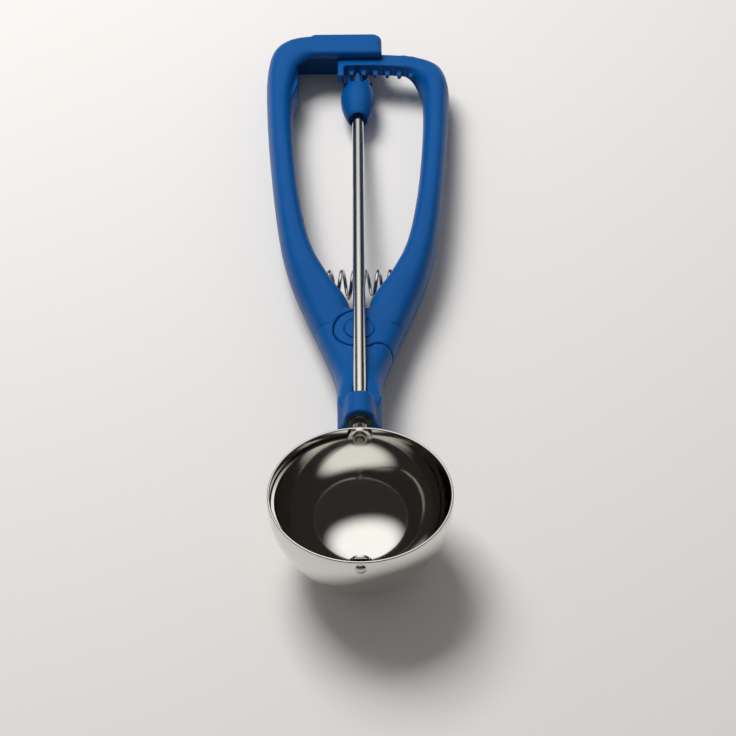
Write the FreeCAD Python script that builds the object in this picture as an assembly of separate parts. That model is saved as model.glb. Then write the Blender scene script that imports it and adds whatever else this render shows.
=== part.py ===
"""Lever ice cream scoop: a polished bowl with a scraper blade, turned by a rack in one of two handles.

The pieces are drawn in a working frame, with the origin at the middle of the bowl's sphere, +Y along
the drive rod towards the handles, +X to the right and +Z out of the bowl. The scoop is then laid on a
table: it rests on the bowl and on the far corners of both handles, and the origin goes under the
middle of its bounding box, at the table. Sizes are in millimetres and angles in degrees.
"""
import FreeCAD, Part
import math
import os

Vec = FreeCAD.Vector

# Bowl
BOWL_R = 26.0
BOWL_WALL = 0.8
COLLAR_H = 2.6
RIM_ROUND = 0.3

# Scraper blade, a strip of a sphere inside the bowl
BLADE_GAP = 0.3
BLADE_T = 0.8
BLADE_START_DEG = 1.0
BLADE_SPAN_DEG = 33.0
BLADE_EAR_R = 3.4

# Drive rod and its bushes
ROD_R = 1.9
ROD_TIP_R = 1.1
ROD_TIP_FLAT = 0.8
ROD_HEAD_R = 1.5
ROD_HEAD_T = 0.7
BUSH_WALL = 0.8
BUSH_FLANGE_R = 3.4
BUSH_FLANGE_T = 0.6
CLIP_T = 0.6
CLIP_R = 3.1
CLIP_GROOVE = 0.35
CLIP_MOUTH = 2.2

# Rivets and washers
RIVET_R = 1.1
RIVET_HEAD_R = 1.6
RIVET_HEAD_T = 0.9
WASHER_R = 2.0
WASHER_T = 0.5

# Running and seating clearances
RUN = 0.05
SEAT = 0.03
AIR = 0.3
PART_GAP = 0.2

# Neck, where the bowl's bracket and the rod's bushes sit
NECK_Y = 30.5
NECK_HALF_W = 6.5
NECK_BOTTOM = -11.6
NECK_SHOULDER = 0.4
NECK_JOIN_Y = 41.0
ROOF_R = 4.7
ROOF_END_Y = 39.0
FACET_RUN = 11.0
FACET_DEPTH = 2.4

# Bowl bracket
BRACKET_T = 1.4
BRACKET_HALF_H = 3.0
BRACKET_Z = -7.2
BRACKET_END_Y = 46.5
SADDLE_HALF_W = 8.0
SADDLE_TOP = -3.2
SADDLE_BOTTOM = -14.5
BRACKET_RIVET_R = 1.1
BRACKET_RIVET_YS = (36.5, 43.0)

# Hub and pivot
PIVOT_Y = 73.0
HUB_TOP = -2.5
HUB_DEPTH = 12.0
DISC_R = 7.75
LAP_R = 8.9
LAP_DEPTH = 6.1
SHOULDER_X = 6.2
SHOULDER_Y = 62.6
SHOULDER_R = 4.3
PIN_R = 1.5
PIN_HEAD_R = 2.8
PIN_HEAD_T = 1.0
CAP_R = 4.4
CAP_T = 1.3
PIVOT_BUSH_R = 2.5
PIVOT_WASHER_R = 3.4
PIVOT_WASHER_T = 0.7
PIN_FOOT_R = 2.3
PIN_FOOT_T = 0.6

# Lever travel and the rack that turns the rod
LEVER_DEG = 6.2
PINION_TEETH = 8
PINION_PITCH_R = 5.0
RACK_TIP_R = 113.8
RACK_TOOTH_H = 2.5
RACK_ROOT_R = RACK_TIP_R + RACK_TOOTH_H
RACK_TEETH_LEFT = 1
RACK_TEETH_RIGHT = 5
RACK_TIP_W = 0.9
RACK_ROOT_W = 2.3
HOOK_WALL = 6.5
HOOK_OUT_R = RACK_ROOT_R + HOOK_WALL
HOOK_BOTTOM = 4.0
HOOK_SKIRT = 3.0
RACK_TOOTH_TOP = 5.4
HOOK_TOP = 7.5
HOOK_RIGHT_DEG = 8.8
HOOK_ROUND = 1.2
TAB_W = 2.2
TAB_DROP = 5.6
TAB_GAP = 0.5

# Pinion cap, a hollow bullet with crown teeth
CAP_BODY_LEN = 14.2
CAP_RACK_GAP = 3.0
CAP_BODY_Y = PIVOT_Y + RACK_TIP_R - CAP_RACK_GAP - CAP_BODY_LEN
CAP_END_R = 3.4
CAP_MAX_R = 5.55
CAP_TOP_R = 5.2
CAP_BULGE = 0.72
CAP_MOUTH_R = 2.9
CAP_MOUTH_DEPTH = 1.8
CAP_BORE_LEN = 11.5
CROWN_IN_R = 2.6
CROWN_OUT_R = 5.2
CROWN_TIP_W = 1.0
CROWN_ROOT_W = 2.0
CROWN_BACKLASH = 0.4

# Hood of the fixed handle, over the lever's hook
HOOD_RIGHT_X = 8.0
HOOD_IN_Y = 192.0
HOOD_LEFT_X = -14.6
HOOD_BOTTOM = -4.8
HOOD_ROUND = 1.4
HOOD_TOP = 10.8
HOOD_PLATE = 3.0
HOOD_WALL = 3.2
HOOD_HOOK_GAP = 3.6
HOOD_OUT_Y = PIVOT_Y + HOOK_OUT_R + HOOD_HOOK_GAP + HOOD_WALL
HOOD_CORNER = 3.2
PAD_SLOPE = 9.0
PAD_LOW_Y = 173.0
PAD_HIGH_Y = 187.2
PAD_ROOT_X = -21.6
PAD_LIFT = 1.0
PAD_HEIGHT = 10.2

# Return spring, wound about an axis along X between the arms
SPRING_Y = 97.6
SPRING_Z = -7.4
SPRING_WIRE_R = 0.58
SPRING_COIL_R = 4.3
SPRING_PITCH = 3.7
SPRING_TURNS = 6.5
SPRING_SEAT_GAP = 0.3
PEG_R = 2.9
PEG_LEN = 3.6
POCKET_AIR = 0.5

# The line across the handles' far corners where they rest on the table
REST_Y = 190.0
REST_Z = -5.2

# Handle sections: outer x, outer y, inner x, inner y, middle z, depth, squareness
ARM_ROOT = (
    (13.3, 76.0, 1.5, 76.0, -8.6, 11.6, 2.8),
    (17.6, 87.0, 3.2, 87.0, -7.3, 12.5, 2.7),
    (21.0, 97.0, 9.0, 97.0, -5.7, 12.7, 2.6),
    (24.0, 110.0, 14.7, 110.0, -3.9, 12.8, 2.5),
    (26.5, 130.0, 18.4, 130.0, -1.3, 13.0, 2.5),
    (28.6, 155.0, 20.6, 155.0, 0.5, 13.2, 2.5),
)
FIXED_TOP = (
    (29.6, 174.0, 21.1, 174.5, 1.2, 14.0, 2.5),
    (29.7, 187.0, 19.7, 184.8, 2.0, 15.2, 2.7),
    (27.9, 196.6, 18.0, 189.0, 2.7, 15.6, 3.2),
    (22.6, 201.4, 15.5, 191.4, 3.0, 15.6, 4.0),
    (13.6, 202.5, 12.6, 192.1, 2.95, 15.4, 7.0),
)
LEVER_TOP = (
    (29.7, 174.0, 21.2, 174.0, 0.7, 14.4, 2.5),
    (29.6, 182.0, 20.8, 181.0, 1.2, 15.2, 2.6),
    (27.4, 189.4, 19.4, 185.2, 2.6, 10.8, 3.0),
    (22.4, 193.0, 17.2, 187.4, 4.4, 6.6, 3.6),
    (14.8, 195.0, 14.4, 188.1, 5.6, 4.3, 5.0),
)
# Hub sections: y, half width, middle z, depth, squareness
HUB = (
    (40.0, 6.5, -5.6, 12.0, 8.0),
    (50.0, 6.7, -7.2, 12.0, 3.2),
    (58.0, 7.9, -8.3, 12.0, 3.0),
    (66.0, 10.3, -8.5, 12.0, 3.0),
    (74.0, 12.9, -8.5, 12.0, 3.0),
    (82.0, 15.8, -8.4, 12.0, 3.0),
)
SECTION_POINTS = 16
STEPS_PER_SPAN = 3
FAR = 300.0


def cylinder(radius, length, start, direction):
    """Return a cylinder from a start point along a direction."""
    return Part.makeCylinder(radius, length, start, direction)


def along_y(radius, y_from, y_to, x=0.0, z=0.0):
    """Return a cylinder parallel to the rod."""
    return cylinder(radius, y_to - y_from, Vec(x, y_from, z), Vec(0, 1, 0))


def pivot_cylinder(radius, z_from, z_to):
    """Return a cylinder on the lever's pivot axis."""
    return cylinder(radius, z_to - z_from, Vec(0, PIVOT_Y, z_from), Vec(0, 0, 1))


def block(x_from, x_to, y_from, y_to, z_from, z_to):
    """Return a box between two limits on each axis."""
    corner = Vec(x_from, y_from, z_from)
    return Part.makeBox(x_to - x_from, y_to - y_from, z_to - z_from, corner)


def prism(points, z_from, z_to):
    """Return a plan outline of x, y points as a solid between two heights."""
    corners = [Vec(x, y, z_from) for x, y in points]
    face = Part.Face(Part.makePolygon(corners + corners[:1]))
    return face.extrude(Vec(0, 0, z_to - z_from))


def ring(outer, inner, y_from, y_to):
    """Return a washer-like ring on the rod's axis."""
    return along_y(outer, y_from, y_to).cut(along_y(inner, y_from, y_to))


def superellipse(half_w, half_d, squareness):
    """Return the across and up offsets of a closed oval that squareness makes boxier."""
    offsets = []
    for i in range(SECTION_POINTS):
        angle = 2 * math.pi * i / SECTION_POINTS
        c, s = math.cos(angle), math.sin(angle)
        across = half_w * math.copysign(abs(c) ** (2 / squareness), c)
        up = half_d * math.copysign(abs(s) ** (2 / squareness), s)
        offsets.append((across, up))
    return offsets


def section_wire(outer, inner, z_mid, depth, squareness):
    """Return an upright oval section whose width runs from an inner to an outer plan point."""
    middle = (outer + inner) / 2
    across = outer - inner
    half_w = across.Length / 2
    across.normalize()
    points = []
    for side, up in superellipse(half_w, depth / 2, squareness):
        points.append(middle + across * side + Vec(0, 0, z_mid + up))
    curve = Part.BSplineCurve()
    curve.interpolate(Points=points, PeriodicFlag=True)
    return Part.Wire([curve.toShape()])


def between(rows, index, share):
    """Return the smooth blend of the rows about a span, at a share of the way along it."""
    before = rows[max(index - 1, 0)]
    after = rows[min(index + 2, len(rows) - 1)]
    blend = []
    for a, b, c, d in zip(before, rows[index], rows[index + 1], after):
        bend = (2 * a - 5 * b + 4 * c - d) * share ** 2 + (3 * b - a - 3 * c + d) * share ** 3
        blend.append(b + ((c - a) * share + bend) / 2)
    return tuple(blend)


def smooth_rows(rows):
    """Return the rows with further ones blended between them."""
    fine = []
    for index in range(len(rows) - 1):
        for step in range(STEPS_PER_SPAN):
            fine.append(between(rows, index, step / STEPS_PER_SPAN))
    return fine + [rows[-1]]


def arm(rows, side):
    """Return one handle arm as a loft through its sections, on the left (-1) or right (1)."""
    wires = []
    for x_out, y_out, x_in, y_in, z_mid, depth, squareness in smooth_rows(rows):
        outer = Vec(side * x_out, y_out, 0)
        inner = Vec(side * x_in, y_in, 0)
        wires.append(section_wire(outer, inner, z_mid, depth, squareness))
    return Part.makeLoft(wires, True, True)


def hub_body():
    """Return the tapering body that the hub and the root of the neck are cut from."""
    wires = []
    for y, half_w, z_mid, depth, squareness in smooth_rows(HUB):
        wires.append(section_wire(Vec(half_w, y, 0), Vec(-half_w, y, 0), z_mid, depth, squareness))
    return Part.makeLoft(wires, True, True)


def hub_bottom():
    """Return the height of the hub's underside."""
    return HUB_TOP - HUB_DEPTH


def lap_z():
    """Return the height where the lever's hub lies on the fixed handle's."""
    return HUB_TOP - LAP_DEPTH


def lever_zone(grow, y_to):
    """Return the space that the lever's hub takes out of the hub body, grown by a clearance."""
    side = block(-grow, FAR, SHOULDER_Y - grow, y_to, -FAR, FAR)
    bump = cylinder(SHOULDER_R - grow, 2 * FAR, Vec(SHOULDER_X, SHOULDER_Y, -FAR), Vec(0, 0, 1))
    under = block(-FAR, SHOULDER_X, -FAR, PIVOT_Y - DISC_R - grow, -FAR, FAR)
    side = side.cut(bump).cut(under)
    low = side.cut(pivot_cylinder(LAP_R + PART_GAP - grow, -FAR, FAR))
    low = low.common(block(-FAR, FAR, -FAR, FAR, -FAR, lap_z()))
    high = side.fuse(pivot_cylinder(DISC_R + grow, -FAR, FAR))
    high = high.common(block(-FAR, FAR, -FAR, FAR, lap_z() - grow, FAR))
    return low.fuse(high)


def about_pivot(shape, degrees):
    """Return a copy of a shape turned about the lever's pivot."""
    turned = shape.copy()
    turned.rotate(Vec(0, PIVOT_Y, 0), Vec(0, 0, 1), degrees)
    return turned


def neck():
    """Return the neck: a block with a round roof over the rod and a slanted facet on each side."""
    body = block(-NECK_HALF_W, NECK_HALF_W, NECK_Y, NECK_JOIN_Y, NECK_BOTTOM, NECK_SHOULDER)
    roof = along_y(ROOF_R, NECK_Y, ROOF_END_Y)
    body = body.fuse(roof)
    for side in (-1, 1):
        top = NECK_SHOULDER
        edge = NECK_HALF_W
        near = [Vec(side * edge, NECK_Y, top - 2 * FACET_DEPTH),
                Vec(side * (edge - FACET_DEPTH), NECK_Y, top),
                Vec(side * edge, NECK_Y, top)]
        tip = Vec(side * edge, NECK_Y + FACET_RUN, top)
        body = body.cut(wedge(near, tip))
    return body


def wedge(base, tip):
    """Return the pyramid from a triangle of three points to a tip."""
    a, b, c = base
    faces = []
    for corners in ((a, b, c), (a, b, tip), (b, c, tip), (c, a, tip)):
        faces.append(Part.Face(Part.makePolygon(list(corners) + [corners[0]])))
    return Part.makeSolid(Part.makeShell(faces))


def hood():
    """Return the bar of the fixed handle's hood, with its free end and its top edges rounded."""
    bar = block(HOOD_LEFT_X, HOOD_RIGHT_X, HOOD_IN_Y, HOOD_OUT_Y, HOOD_BOTTOM, HOOD_TOP)
    corner = []
    for edge in bar.Edges:
        middle = edge.CenterOfMass
        if abs(middle.x - HOOD_RIGHT_X) < SEAT and abs(middle.y - HOOD_OUT_Y) < SEAT:
            corner.append(edge)
    bar = bar.makeFillet(HOOD_CORNER, corner)
    top = []
    for edge in bar.Edges:
        middle = edge.CenterOfMass
        if abs(middle.z - HOOD_TOP) < SEAT and middle.x > HOOD_LEFT_X + SEAT:
            top.append(edge)
    return bar.makeFillet(HOOD_ROUND, top)


def turned_left(x, radius):
    """Return the x of a point of the lever, at a radius from the pivot, when it is squeezed."""
    angle = math.radians(LEVER_DEG)
    y = math.sqrt(radius ** 2 - x ** 2)
    return x * math.cos(angle) - y * math.sin(angle)


def hood_pocket():
    """Return the space under the hood in which the lever's hook slides."""
    end_x = turned_left(tab_x() - TAB_W, HOOK_OUT_R) - AIR
    pocket = block(end_x, FAR, PAD_HIGH_Y, HOOD_OUT_Y - HOOD_WALL, -FAR, HOOD_TOP - HOOD_PLATE)
    tab_way = block(pad_face_x(), 0, PAD_LOW_Y, PAD_HIGH_Y, HOOK_BOTTOM - AIR, HOOD_TOP - HOOD_PLATE)
    return pocket.fuse(tab_way)


def pad_face_x():
    """Return the x of the pad's face, just past the squeezed lever's tab."""
    return turned_left(tab_x() - TAB_W, RACK_ROOT_R) - AIR


def stop_pad():
    """Return the pad in the fixed handle's corner that stops the lever's tab."""
    face_x = pad_face_x()
    outline = [(PAD_ROOT_X, PAD_LOW_Y), (face_x, PAD_LOW_Y + PAD_SLOPE),
               (face_x, PAD_HIGH_Y), (PAD_ROOT_X, PAD_HIGH_Y)]
    return prism(outline, REST_Z + PAD_LIFT, REST_Z + PAD_LIFT + PAD_HEIGHT)


def spring_half():
    """Return half the spring's length, from its middle to its seat."""
    return SPRING_PITCH * SPRING_TURNS / 2 + SPRING_WIRE_R


def spring_pocket(side):
    """Return the round pocket in an arm that the spring's end sits in, without its peg."""
    seat_x = spring_half() + SPRING_SEAT_GAP
    start = Vec(0, SPRING_Y, SPRING_Z)
    bore = cylinder(SPRING_COIL_R + SPRING_WIRE_R + POCKET_AIR, seat_x, start, Vec(side, 0, 0))
    peg_start = Vec(side * (seat_x - PEG_LEN), SPRING_Y, SPRING_Z)
    return bore.cut(cylinder(PEG_R, PEG_LEN, peg_start, Vec(side, 0, 0)))


def table_cut():
    """Return the space below the table, in the working frame, that trims the resting corners."""
    slab = block(-FAR, FAR, -FAR, FAR, -FAR, -BOWL_R)
    slab.rotate(Vec(0, 0, 0), Vec(1, 0, 0), tilt())
    return slab


def bracket_slot(grow):
    """Return the bracket's upright tang, grown by a clearance where it is cut from the neck."""
    half_t = BRACKET_T / 2 + grow
    half_h = BRACKET_HALF_H + grow
    y_from = BOWL_R - BRACKET_T - BRACKET_HALF_H
    return block(-half_t, half_t, y_from, BRACKET_END_Y + grow, BRACKET_Z - half_h, BRACKET_Z + half_h)


def bracket_rivet_cuts(radius):
    """Return the bracket rivets' cylinders across the neck."""
    pins = []
    for y in BRACKET_RIVET_YS:
        pins.append(cylinder(radius, 2 * NECK_HALF_W, Vec(-NECK_HALF_W, y, BRACKET_Z), Vec(1, 0, 0)))
    return Part.makeCompound(pins)


def fixed_handle():
    """Return the left handle with the hood, the hub's lower lap and the neck."""
    body = arm(ARM_ROOT + FIXED_TOP, -1).fuse(hood())
    body = body.fuse(hub_body()).fuse(neck())
    for step in (0.0, 0.5, 1.0):
        body = body.cut(about_pivot(lever_zone(PART_GAP, PIVOT_Y + 2 * DISC_R), step * LEVER_DEG))
    body = body.cut(hood_pocket()).fuse(stop_pad())
    body = body.cut(spring_pocket(-1)).cut(table_cut())
    channel = along_y(ROD_R + AIR, NECK_Y - 1, PIVOT_Y + DISC_R)
    bush_seat = along_y(ROD_R + RUN + BUSH_WALL + SEAT, NECK_Y - 1, ROOF_END_Y + 1)
    flange_room = along_y(BUSH_FLANGE_R + AIR, ROOF_END_Y, ROOF_END_Y + BUSH_FLANGE_T + AIR)
    body = body.cut(channel).cut(bush_seat).cut(rod_clear()).cut(flange_room)
    body = body.cut(bracket_slot(SEAT)).cut(bracket_rivet_cuts(BRACKET_RIVET_R + SEAT))
    body = body.cut(pivot_cylinder(PIN_R + SEAT, -FAR, FAR))
    foot = hub_bottom() + PIVOT_WASHER_T + PIN_FOOT_T
    return body.cut(pivot_cylinder(PIVOT_WASHER_R + AIR, -FAR, foot))


def rod_clear():
    """Return the open way above the rod behind the neck's roof."""
    return block(-ROD_R - AIR, ROD_R + AIR, ROOF_END_Y, PIVOT_Y + DISC_R, 0, FAR)


def rack_pitch_r():
    """Return the radius at which the rack rolls on the pinion."""
    return (RACK_TIP_R + RACK_ROOT_R) / 2


def tooth_step_deg():
    """Return the angle between two rack teeth, seen from the pivot."""
    pitch = 2 * math.pi * PINION_PITCH_R / PINION_TEETH
    return math.degrees(pitch / rack_pitch_r())


def rack_tooth(index):
    """Return one rack tooth; a gap is centred on the rod, so teeth lie half a step off it."""
    overlap = 1.0
    half_root = RACK_ROOT_W / 2
    half_tip = RACK_TIP_W / 2
    y_root = PIVOT_Y + RACK_ROOT_R
    y_tip = PIVOT_Y + RACK_TIP_R
    outline = [(-half_root, y_root + overlap), (-half_root, y_root), (-half_tip, y_tip),
               (half_tip, y_tip), (half_root, y_root), (half_root, y_root + overlap)]
    tooth = prism(outline, HOOK_BOTTOM, RACK_TOOTH_TOP)
    return about_pivot(tooth, -(index + 0.5) * tooth_step_deg())


def tab_x():
    """Return the x of the end tab's face towards the pinion."""
    return -math.sqrt(CAP_MAX_R ** 2 - HOOK_BOTTOM ** 2) - TAB_GAP


def hook():
    """Return the lever's hook: an arc bar about the pivot with its rack teeth and end tab."""
    bar = pivot_cylinder(HOOK_OUT_R, HOOK_SKIRT, HOOK_TOP)
    bar = bar.cut(pivot_cylinder(RACK_ROOT_R, HOOK_SKIRT, HOOK_TOP))
    left_x = tab_x() - TAB_W
    bar = bar.common(block(left_x, FAR, PIVOT_Y, FAR, -FAR, FAR))
    right = about_pivot(block(-FAR, 0, PIVOT_Y, FAR, -FAR, FAR), -HOOK_RIGHT_DEG)
    bar = bar.common(right)
    outer_top = []
    for edge in bar.Edges:
        middle = edge.CenterOfMass
        is_top = abs(middle.z - HOOK_TOP) < SEAT
        if is_top and middle.distanceToPoint(Vec(0, PIVOT_Y, HOOK_TOP)) > RACK_ROOT_R + AIR:
            if edge.Length > HOOK_OUT_R - RACK_ROOT_R + AIR:
                outer_top.append(edge)
    bar = bar.makeFillet(HOOK_ROUND, outer_top)
    y_root = PIVOT_Y + RACK_ROOT_R
    tab = block(left_x, tab_x(), y_root - TAB_DROP, y_root + 1, HOOK_BOTTOM, HOOK_TOP)
    bar = bar.fuse(tab)
    for index in range(-RACK_TEETH_LEFT, RACK_TEETH_RIGHT):
        bar = bar.fuse(rack_tooth(index))
    return bar


def lever_handle():
    """Return the right handle with its hub disc and the hook with the rack."""
    body = arm(ARM_ROOT + LEVER_TOP, 1).fuse(hub_body())
    body = body.common(lever_zone(0.0, FAR)).fuse(hook())
    body = body.cut(spring_pocket(1)).cut(table_cut())
    body = body.cut(block(-ROD_R - AIR, ROD_R + AIR, 0, PIVOT_Y + DISC_R, -ROD_R - AIR, FAR))
    body = body.cut(pivot_cylinder(PIVOT_BUSH_R + SEAT, -FAR, FAR))
    body = body.cut(pivot_cylinder(CAP_R + SEAT, HUB_TOP - CAP_T, FAR))
    return body.cut(pivot_cylinder(PIN_HEAD_R + AIR, bush_top(), FAR))


def bush_top():
    """Return the height of the pivot bush's upper face, under the pin's head."""
    return HUB_TOP - CAP_T - SEAT - PIN_HEAD_T - SEAT


def pivot_bush():
    """Return the bush pressed into the lever's hub."""
    low = lap_z()
    outer = pivot_cylinder(PIVOT_BUSH_R, low, bush_top())
    return outer.cut(pivot_cylinder(PIN_R + RUN, low, bush_top()))


def pivot_pin():
    """Return the pivot pin, with its head over the bush and its foot riveted over the washer."""
    foot_z = hub_bottom() + PIN_FOOT_T
    head_z = bush_top() + SEAT
    shank = pivot_cylinder(PIN_R, foot_z, head_z)
    head = pivot_cylinder(PIN_HEAD_R, head_z, head_z + PIN_HEAD_T)
    foot = pivot_cylinder(PIN_FOOT_R, foot_z - PIN_FOOT_T, foot_z)
    return shank.fuse(head).fuse(foot).removeSplitter()


def pivot_washer():
    """Return the washer between the fixed handle's hub and the pin's foot."""
    low = hub_bottom() + PIN_FOOT_T
    outer = pivot_cylinder(PIVOT_WASHER_R, low, low + PIVOT_WASHER_T)
    return outer.cut(pivot_cylinder(PIN_R + SEAT, low, low + PIVOT_WASHER_T))


def pivot_cap():
    """Return the round plug over the pin's head."""
    return pivot_cylinder(CAP_R, HUB_TOP - CAP_T, HUB_TOP)


def bowl_profile():
    """Return the bowl's wall as a face in the XZ plane, from the bottom to the rounded rim."""
    inner = BOWL_R - BOWL_WALL
    half = math.sqrt(0.5)
    outer_arc = Part.Arc(Vec(0, 0, -BOWL_R), Vec(BOWL_R * half, 0, -BOWL_R * half), Vec(BOWL_R, 0, 0))
    inner_arc = Part.Arc(Vec(inner, 0, 0), Vec(inner * half, 0, -inner * half), Vec(0, 0, -inner))
    edges = [
        outer_arc.toShape(),
        Part.makeLine(Vec(BOWL_R, 0, 0), Vec(BOWL_R, 0, COLLAR_H - RIM_ROUND)),
        rim_arc(BOWL_R - RIM_ROUND, 1),
        Part.makeLine(Vec(BOWL_R - RIM_ROUND, 0, COLLAR_H), Vec(inner + RIM_ROUND, 0, COLLAR_H)),
        rim_arc(inner + RIM_ROUND, -1),
        Part.makeLine(Vec(inner, 0, COLLAR_H - RIM_ROUND), Vec(inner, 0, 0)),
        inner_arc.toShape(),
        Part.makeLine(Vec(0, 0, -inner), Vec(0, 0, -BOWL_R)),
    ]
    return Part.Face(Part.Wire(Part.sortEdges(edges)[0]))


def rim_arc(centre_x, side):
    """Return the quarter round on the outer (1) or inner (-1) edge of the rim."""
    centre = Vec(centre_x, 0, COLLAR_H - RIM_ROUND)
    half = RIM_ROUND * math.sqrt(0.5)
    low = centre + Vec(side * RIM_ROUND, 0, 0)
    high = centre + Vec(0, 0, RIM_ROUND)
    return Part.Arc(low, centre + Vec(side * half, 0, half), high).toShape()


def bowl():
    """Return the bowl with the holes for the rod and the front rivet."""
    body = bowl_profile().revolve(Vec(0, 0, 0), Vec(0, 0, 1), 360)
    body = body.cut(along_y(ROD_TIP_R + RUN, 0, FAR))
    return body.cut(along_y(RIVET_R + SEAT, -FAR, 0))


def blade_outer_r():
    """Return the scraper blade's outer radius."""
    return BOWL_R - BOWL_WALL - BLADE_GAP


def scraper_blade():
    """Return the blade: a spherical strip with an ear round each of its two pivots."""
    outer = blade_outer_r()
    shell = Part.makeSphere(outer).cut(Part.makeSphere(outer - BLADE_T))
    low = block(-FAR, 0, -FAR, FAR, -FAR, 0)
    low.rotate(Vec(0, 0, 0), Vec(0, 1, 0), -BLADE_START_DEG)
    past = block(-FAR, FAR, -FAR, FAR, -FAR, 0)
    past.rotate(Vec(0, 0, 0), Vec(0, 1, 0), -BLADE_START_DEG - BLADE_SPAN_DEG)
    strip = shell.common(low).cut(past)
    ears = shell.common(along_y(BLADE_EAR_R, -FAR, FAR))
    body = strip.fuse(ears)
    body = body.cut(along_y(RIVET_R + RUN, -FAR, 0))
    return body.cut(rod_tip(0, FAR, SEAT)).removeSplitter()


def ear_inner_y():
    """Return how far along the rod's axis a flat washer clears the blade ear's inside."""
    inner = blade_outer_r() - BLADE_T - SEAT
    return math.sqrt(inner ** 2 - WASHER_R ** 2)


def front_washer():
    """Return the washer inside the blade's front ear."""
    y = -ear_inner_y()
    return ring(WASHER_R, RIVET_R + SEAT, y, y + WASHER_T)


def front_rivet():
    """Return the rivet through the front of the bowl, domed outside and flat inside."""
    inside = -ear_inner_y() + WASHER_T + SEAT
    shank = along_y(RIVET_R, -BOWL_R, inside)
    foot = along_y(RIVET_HEAD_R, inside, inside + RIVET_HEAD_T / 2)
    dome_r = (RIVET_HEAD_R ** 2 + RIVET_HEAD_T ** 2) / (2 * RIVET_HEAD_T)
    dome = Part.makeSphere(dome_r, Vec(0, -BOWL_R - RIVET_HEAD_T + dome_r, 0))
    dome = dome.common(block(-FAR, FAR, -FAR, -BOWL_R, -FAR, FAR))
    return shank.fuse(foot).fuse(dome).removeSplitter()


def rod_tip(y_from, y_to, grow):
    """Return the rod's tip with two flats that turn the blade."""
    tip = along_y(ROD_TIP_R + grow, y_from, y_to)
    half = ROD_TIP_FLAT + grow
    return tip.common(block(-half, half, y_from, y_to, -FAR, FAR))


def clip_y():
    """Return where the rod's circlip starts, just outside the lower bush's flange."""
    return NECK_Y - BUSH_FLANGE_T - SEAT - CLIP_T - SEAT


def drive_rod():
    """Return the rod from its riveted tip in the bowl to its end in the pinion cap."""
    head_y = ear_inner_y() - WASHER_T - SEAT
    tip_y = blade_outer_r() + BLADE_GAP / 2
    rod = along_y(ROD_R, clip_y() - CLIP_T, CAP_BODY_Y + CAP_BORE_LEN)
    rod = rod.fuse(along_y(ROD_TIP_R, tip_y, clip_y()))
    rod = rod.fuse(rod_tip(head_y, tip_y, 0.0))
    rod = rod.fuse(along_y(ROD_HEAD_R, head_y - ROD_HEAD_T, head_y))
    groove = ring(ROD_R + AIR, ROD_R - CLIP_GROOVE, clip_y(), clip_y() + CLIP_T)
    return rod.cut(groove).removeSplitter()


def rear_washer():
    """Return the washer inside the blade's rear ear, under the rod's riveted head."""
    y = ear_inner_y()
    washer = along_y(WASHER_R, y - WASHER_T, y)
    return washer.cut(rod_tip(y - WASHER_T, y, SEAT))


def rod_circlip():
    """Return the open ring in the rod's groove."""
    start = clip_y() + SEAT
    clip = ring(CLIP_R, ROD_R - CLIP_GROOVE + SEAT, start, clip_y() + CLIP_T - SEAT)
    return clip.cut(block(-CLIP_MOUTH / 2, CLIP_MOUTH / 2, 0, FAR, -CLIP_R, 0))


def rod_bush(face_y, inward):
    """Return a flanged bush whose flange lies on a face of the neck; inward is 1 or -1 along Y."""
    outer = ROD_R + RUN + BUSH_WALL
    length = (ROOF_END_Y - NECK_Y) / 2 - AIR
    sleeve_end = face_y + inward * length
    flange_end = face_y - inward * BUSH_FLANGE_T
    body = along_y(outer, min(face_y, sleeve_end), max(face_y, sleeve_end))
    body = body.fuse(along_y(BUSH_FLANGE_R, min(face_y, flange_end), max(face_y, flange_end)))
    return body.cut(along_y(ROD_R + RUN, 0, FAR)).removeSplitter()


def bowl_bracket():
    """Return the saddle that fits the bowl's back and its tang in the neck."""
    outer = BOWL_R + SEAT
    shell = Part.makeSphere(outer + BRACKET_T).cut(Part.makeSphere(outer))
    patch = block(-SADDLE_HALF_W, SADDLE_HALF_W, 0, FAR, SADDLE_BOTTOM, SADDLE_TOP)
    tang = bracket_slot(0.0).cut(Part.makeSphere(outer))
    body = shell.common(patch).fuse(tang)
    return body.cut(bracket_rivet_cuts(BRACKET_RIVET_R + SEAT)).removeSplitter()


def cap_profile():
    """Return the pinion cap's bullet outline as a face in the XY plane, right of the rod's axis."""
    top_y = CAP_BODY_Y + CAP_BODY_LEN
    widest_y = CAP_BODY_Y + CAP_BODY_LEN * CAP_BULGE
    curve = Part.BSplineCurve()
    curve.interpolate(
        Points=[Vec(CAP_END_R, CAP_BODY_Y, 0), Vec(CAP_MAX_R, widest_y, 0), Vec(CAP_TOP_R, top_y, 0)],
        InitialTangent=Vec(1, 2, 0), FinalTangent=Vec(-1, 4, 0))
    edges = [
        curve.toShape(),
        Part.makeLine(Vec(CAP_TOP_R, top_y, 0), Vec(0, top_y, 0)),
        Part.makeLine(Vec(0, top_y, 0), Vec(0, CAP_BODY_Y, 0)),
        Part.makeLine(Vec(0, CAP_BODY_Y, 0), Vec(CAP_END_R, CAP_BODY_Y, 0)),
    ]
    return Part.Face(Part.Wire(Part.sortEdges(edges)[0]))


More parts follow.
